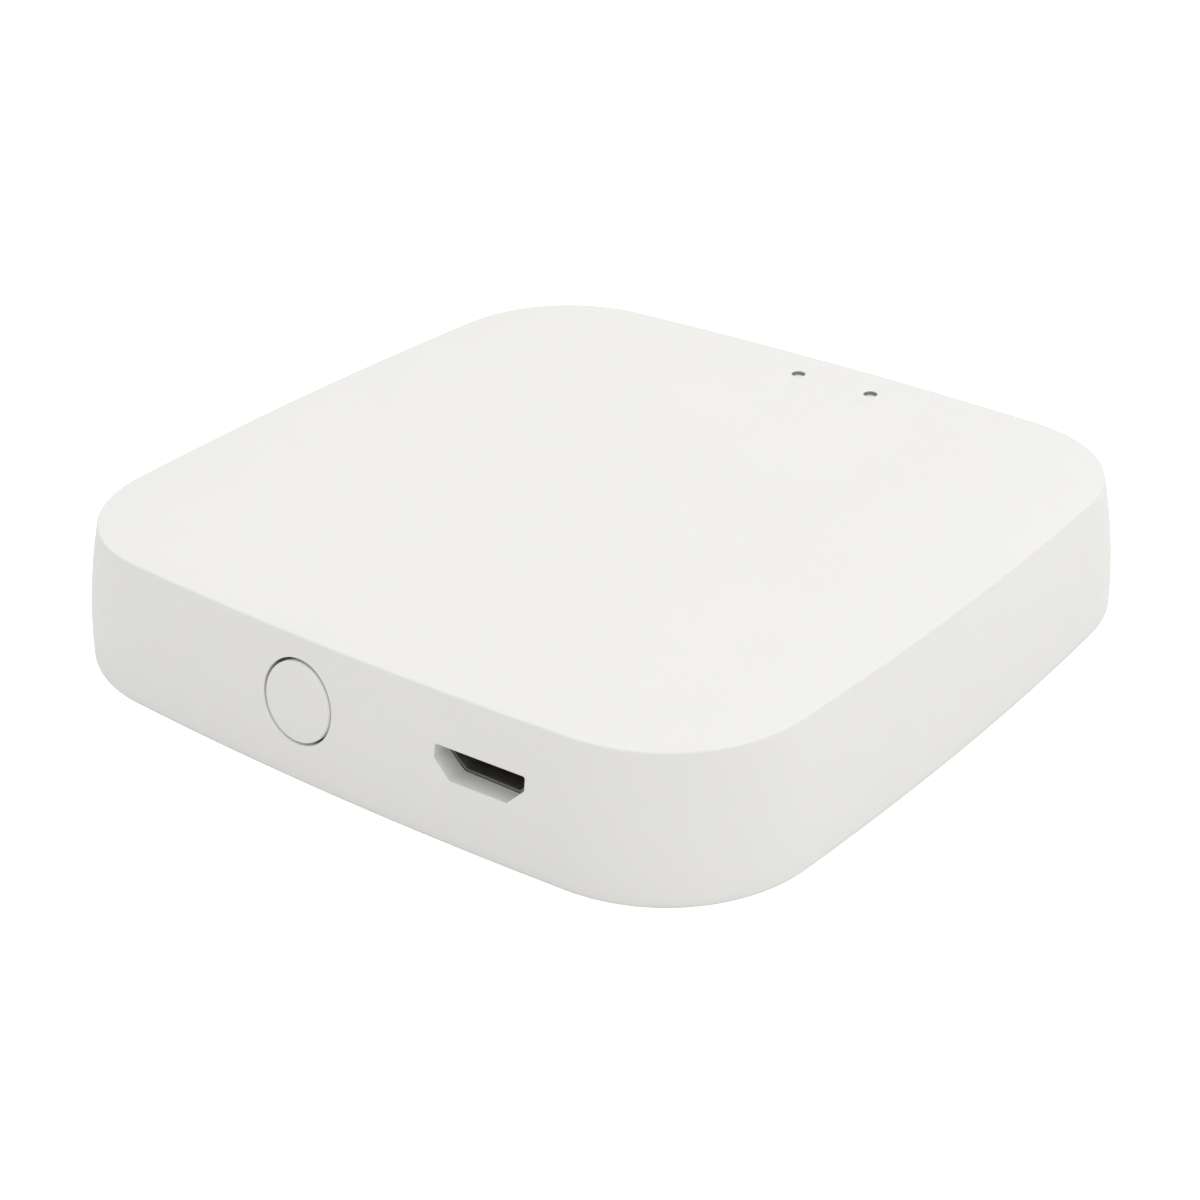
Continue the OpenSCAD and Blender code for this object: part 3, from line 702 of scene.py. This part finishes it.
def make_button():
    """Round cap that leans as the wall does, slightly raised, with its stem, flange and pusher."""
    low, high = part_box("button_cap")
    tilt = math.asin((BUTTON.z - WIDEST_Z) / WALL_R)
    face_y = float(front_y(BUTTON.x, BUTTON.z))
    proud = 0.04 * MM
    back = 0.6 * MM
    edge = 0.15 * MM
    fall = 0.05 * MM
    slope = 0.35 * MM
    brink = BUTTON_R - edge
    middle_r = 0.2 * MM
    profile = [(middle_r, -back), (BUTTON_R, -back)]
    profile += [
        (brink + edge * math.cos(a), proud - fall - edge + edge * math.sin(a))
        for a in np.linspace(0, math.pi / 2, 8)
    ]
    profile += [
        (brink - slope * t, proud - fall + fall * eased(t)) for t in np.linspace(0, 1, 9)[1:]
    ]
    profile.append((middle_r, proud))
    cap = lathe("push_button", profile, steps=96)
    at = Matrix.Translation((BUTTON.x, face_y, BUTTON.z))
    cap.data.transform(at @ Matrix.Rotation(math.pi / 2 - tilt, 4, "X"))
    stem_r = 2.5 * MM
    stem_y = face_y + back / 2
    join(cap, rod_y(stem_r, (BUTTON.x, stem_y, BUTTON.z), FLANGE_Y - stem_y + 0.01 * MM))
    half_h = 2.1 * MM
    flange_back = FLANGE_Y + 0.8 * MM
    join(cap, block((low.x, FLANGE_Y, BUTTON.z - half_h), (high.x, flange_back, BUTTON.z + half_h)))
    pusher_r = 1.1 * MM
    pusher_y = FLANGE_Y + 0.1 * MM
    join(cap, rod_y(pusher_r, (BUTTON.x, pusher_y, BUTTON.z), high.y - pusher_y, 48))
    return stands_for(shade(cap), "button_cap")


# ---------- inlet and light pipes ----------


def usb_bar(name, y0, y1, grown, edge):
    """An inlet-shaped bar along +Y, its front edge drawn in (edge above 0) or flared (below 0)."""
    rings = []
    for drawn, y in ((edge, y0), (edge * 0.3, y0 + abs(edge) * 0.3), (0, y0 + abs(edge)), (0, y1)):
        x, z = usb_path(grown - drawn).T
        rings.append(np.column_stack([x, np.full(len(x), y), z]))
    return loft(name, rings)


def make_inlet():
    """The inlet's metal shell with flared lips, two latch windows above and its solder tabs."""
    rim_edge = 0.05 * MM
    flare = 0.08 * MM
    inlet = usb_bar("inlet_shell", USB_LOW.y, USB_HIGH.y, USB_RIM, rim_edge)
    hollow_y = USB_LOW.y - 0.01 * MM
    cut(inlet, usb_bar("hollow", hollow_y, USB_HIGH.y + MM, USB_RIM - USB_METAL, -flare))
    window_x = 1.6 * MM
    window_half = 0.35 * MM
    window_y0 = USB_LOW.y + 1.6 * MM
    window_y1 = window_y0 + 1.1 * MM
    roof = USB_Z + USB_H / 2
    for side in (-1, 1):
        x = USB_X + side * window_x
        cut(inlet, block(
            (x - window_half, window_y0, roof - USB_METAL),
            (x + window_half, window_y1, roof + MM),
        ))
    sheet = 0.25 * MM
    tab_length = 0.9 * MM
    root = USB_W / 2 + USB_RIM - 0.05 * MM
    reach = USB_HIGH.x - USB_X
    # Each tab is a flat foot on the board and an upright strip beside the shell
    tab_shapes = [(reach, BOARD_HIGH.z + sheet), (root + sheet, USB_Z + 0.4 * MM)]
    for side in (-1, 1):
        for tab_start in (2.4 * MM, 4 * MM):
            y0 = USB_LOW.y + tab_start
            for outer, top in tab_shapes:
                x0, x1 = sorted((USB_X + side * root, USB_X + side * outer))
                join(inlet, block((x0, y0, BOARD_HIGH.z), (x1, y0 + tab_length, top)))
    return stands_for(shade(inlet), "usb_shell")


def make_light_pipe(node):
    """Milky pin with a flange, a softly domed upper end and a rounded lower end."""
    low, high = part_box(node)
    centre = middle_of(node)
    pin_r = 0.44 * MM
    stem_r = 0.8 * MM
    flange_r = (high.x - low.x) / 2
    end_r = 0.3 * MM
    dome = 0.05 * MM
    dome_turns = np.linspace(0, 1.45, 8)
    profile = [(0.1 * MM, low.z)]
    profile += rounded_base(stem_r, low.z, end_r, 7)
    flange_low = CEILING_Z - 0.6 * MM
    profile += [
        (stem_r, flange_low), (flange_r, flange_low), (flange_r, CEILING_Z), (pin_r, CEILING_Z),
    ]
    profile += [(pin_r * math.cos(a), high.z - dome + dome * math.sin(a)) for a in dome_turns]
    pipe = lathe("milky_" + node, profile, (centre.x, centre.y, 0), 48)
    return stands_for(shade(pipe, 40), node)


def make_light_sleeve(node):
    """Tube round a light pipe's pin, whose mouth widens to a thin rounded rim; its dark grey is
    painted shade on the light hole's far wall.
    """
    low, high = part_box(node)
    centre = middle_of(node)
    outer_r = (high.x - low.x) / 2
    bore_r = outer_r - 0.1 * MM
    rim = 0.01 * MM
    mouth_low = high.z - 0.19 * MM
    profile = [
        (bore_r, low.z), (outer_r, low.z), (outer_r, high.z - rim), (outer_r - rim, high.z),
        (outer_r - 2 * rim, high.z - rim), (bore_r, mouth_low),
    ]
    sleeve = lathe("fine_" + node, profile, (centre.x, centre.y, 0), 48, looped=True)
    return stands_for(shade(sleeve), node)


# ---------- inner pieces ----------


def make_dome():
    """Thin snap dome in front of the switch plunger."""
    low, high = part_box("switch_dome")
    centre = middle_of("switch_dome")
    rim_r = (high.x - low.x) / 2
    rise = 0.35 * MM
    thick = 0.08 * MM
    ball_r = (rim_r**2 + rise**2) / (2 * rise)
    sweep = math.asin((rim_r - thick) / ball_r)
    turns = np.linspace(0.005, sweep, 14)
    inner_r = ball_r - thick
    profile = [(inner_r * math.sin(a), inner_r * math.cos(a)) for a in turns]
    profile += [(ball_r * math.sin(a), ball_r * math.cos(a)) for a in reversed(turns)]
    dome = lathe("snap_dome", profile)
    at = Matrix.Translation((centre.x, low.y + ball_r, centre.z))
    dome.data.transform(at @ Matrix.Rotation(math.pi / 2, 4, "X"))
    stands_for(shade(dome), "switch_dome")
    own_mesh(dome)


def soften(node, width, segments=2):
    """A copy of a CAD node with its edges rounded off, which stands for it."""
    piece = bpy.data.objects.new("fine_" + node, frame["nodes"][node].data.copy())
    bpy.context.scene.collection.objects.link(piece)
    rework(
        piece,
        lambda work: bmesh.ops.remove_doubles(work, verts=work.verts, dist=1e-6),
        lambda work: bmesh.ops.dissolve_limit(
            work, angle_limit=math.radians(1), verts=work.verts, edges=work.edges
        ),
    )
    step = piece.modifiers.new("round", "BEVEL")
    step.width = width
    step.segments = segments
    step.limit_method = "ANGLE"
    step.angle_limit = math.radians(35)
    step.use_clamp_overlap = True
    apply_modifiers(piece)
    return stands_for(shade(piece, 40), node)


# Edge radius of each inner piece in millimetres
ROUNDINGS = {
    "main_board": 0.05, "switch_body": 0.08, "switch_cover": 0.04, "switch_plunger": 0.06,
    "switch_terminals": 0.03, "usb_insulator": 0.05, "usb_contacts": 0.015, "cover_screws": 0.06,
    "status_led_left": 0.05, "status_led_right": 0.05, "wifi_board": 0.05, "wifi_shield": 0.08,
    "wifi_chip": 0.08, "wifi_flash": 0.1, "wifi_crystal": 0.1, "zigbee_board": 0.05,
    "zigbee_shield": 0.08, "zigbee_chip": 0.08, "zigbee_crystal": 0.1, "esd_diode": 0.03,
    "buck_regulator": 0.03, "power_inductor": 0.2, "input_capacitor": 0.1, "output_capacitor": 0.1,
    "chip_resistors": 0.05, "chip_capacitors": 0.07,
}

make_casing()
make_cover()
make_label()
make_button()
for corner in ("front_left", "front_right", "rear_left", "rear_right"):
    make_foot("foot_" + corner)
make_inlet()
for side_name in ("left", "right"):
    make_light_pipe("light_pipe_" + side_name)
    make_light_sleeve("light_sleeve_" + side_name)
for node_name, width_mm in ROUNDINGS.items():
    soften(node_name, width_mm * MM)
make_dome()
for node_name in ("wifi_antenna", "zigbee_antenna"):
    kept = frame["nodes"][node_name].data.materials
    kept.clear()
    kept.append(materials[SLOT_OF[node_name]])

# ---------- camera, floor and light ----------

# The camera's azimuth, elevation and roll in degrees, and its distance in millimetres
CAMERA_TURN = (37.29, 27.38, -0.24)
CAMERA_FAR = 197.1
SENSOR = 36
LENS = 75.88
LENS_SHIFT = (-0.0082, -0.0298)
# The world's strength at the horizon and how much it grows to the top
WORLD_LOW = 0.58
WORLD_RISE = 0.47
# Place, size and power of each lamp
LIGHTS = {
    "overhead": ((0.15, 0.1, 0.9), 0.6, 0.92),
    "back_softbox": ((0.1, 0.5, 0.5), 0.5, 0.77),
    "right_fill": ((0.8, -0.1, 0.35), 0.4, 0.39),
}


def make_camera():
    """The photo's camera, aimed at the hub's middle."""
    azimuth, elevation, roll = (math.radians(a) for a in CAMERA_TURN)
    back = Vector((
        math.sin(azimuth) * math.cos(elevation),
        -math.cos(azimuth) * math.cos(elevation),
        math.sin(elevation),
    ))
    right = Vector((math.cos(azimuth), math.sin(azimuth), 0))
    up = back.cross(right)
    right_rolled = math.cos(roll) * right + math.sin(roll) * up
    up_rolled = -math.sin(roll) * right + math.cos(roll) * up
    data = bpy.data.cameras.new("camera")
    data.sensor_width = SENSOR
    data.lens = LENS
    data.shift_x, data.shift_y = LENS_SHIFT
    data.clip_start = 0.01
    data.clip_end = 10
    camera = bpy.data.objects.new("camera", data)
    bpy.context.scene.collection.objects.link(camera)
    turn = Matrix((right_rolled, up_rolled, back)).transposed().to_4x4()
    aim_drop = 6.5 * MM
    target = Vector((0, 0, TOP_Z - aim_drop))
    camera.matrix_world = Matrix.Translation(target + back * CAMERA_FAR * MM) @ turn
    bpy.context.scene.camera = camera


def make_light(name, place, size, power):
    """A round area lamp that faces the frame's origin."""
    data = bpy.data.lights.new(name, "AREA")
    data.shape = "DISK"
    data.size = size
    data.energy = power
    lamp = bpy.data.objects.new(name, data)
    bpy.context.scene.collection.objects.link(lamp)
    lamp.location = place
    lamp.rotation_euler = (-Vector(place)).to_track_quat("-Z", "Y").to_euler()


def seen_directly(tree):
    """1 where the camera sees a surface and 0 where light from it falls on something else."""
    return tree.nodes.new("ShaderNodeLightPath").outputs["Is Camera Ray"]


def make_world():
    """Light that grows a little from the horizon up, behind a plain white backdrop."""
    world = bpy.data.worlds.new("world")
    world.use_nodes = True
    tree = world.node_tree
    background = tree.nodes["Background"]
    direction = tree.nodes.new("ShaderNodeTexCoord")
    split = tree.nodes.new("ShaderNodeSeparateXYZ")
    rise = tree.nodes.new("ShaderNodeMapRange")
    rise.inputs["To Min"].default_value = WORLD_LOW
    rise.inputs["To Max"].default_value = WORLD_LOW + WORLD_RISE
    backdrop = tree.nodes.new("ShaderNodeMath")
    backdrop.operation = "MAXIMUM"
    tree.links.new(direction.outputs["Generated"], split.inputs["Vector"])
    tree.links.new(split.outputs["Z"], rise.inputs["Value"])
    tree.links.new(rise.outputs["Result"], backdrop.inputs[0])
    tree.links.new(seen_directly(tree), backdrop.inputs[1])
    tree.links.new(backdrop.outputs["Value"], background.inputs["Strength"])
    background.inputs["Color"].default_value = (1, 1, 1, 1)
    bpy.context.scene.world = world


def make_floor():
    """A pale round floor that shows as white as the backdrop."""
    floor_r = 3
    sides = 96
    floor = new_object("floor", flat_ring(circle(floor_r, sides), 0), [range(sides)])
    made, tree, shader = blank("pale_floor")
    clouds = spread(tree, noise(tree, 6, 2), 0, 1)
    tree.links.new(tint(tree, clouds, (0.92,) * 3, (0.93,) * 3), shader.inputs["Base Color"])
    shader.inputs["Roughness"].default_value = 0.9
    shader.inputs["Emission Color"].default_value = (1, 1, 1, 1)
    tree.links.new(seen_directly(tree), shader.inputs["Emission Strength"])
    floor.data.materials.append(made)


make_camera()
make_floor()
make_world()
for lamp_name, (place, size, power) in LIGHTS.items():
    make_light(lamp_name, place, size, power)
bpy.context.scene.view_settings.view_transform = "Standard"
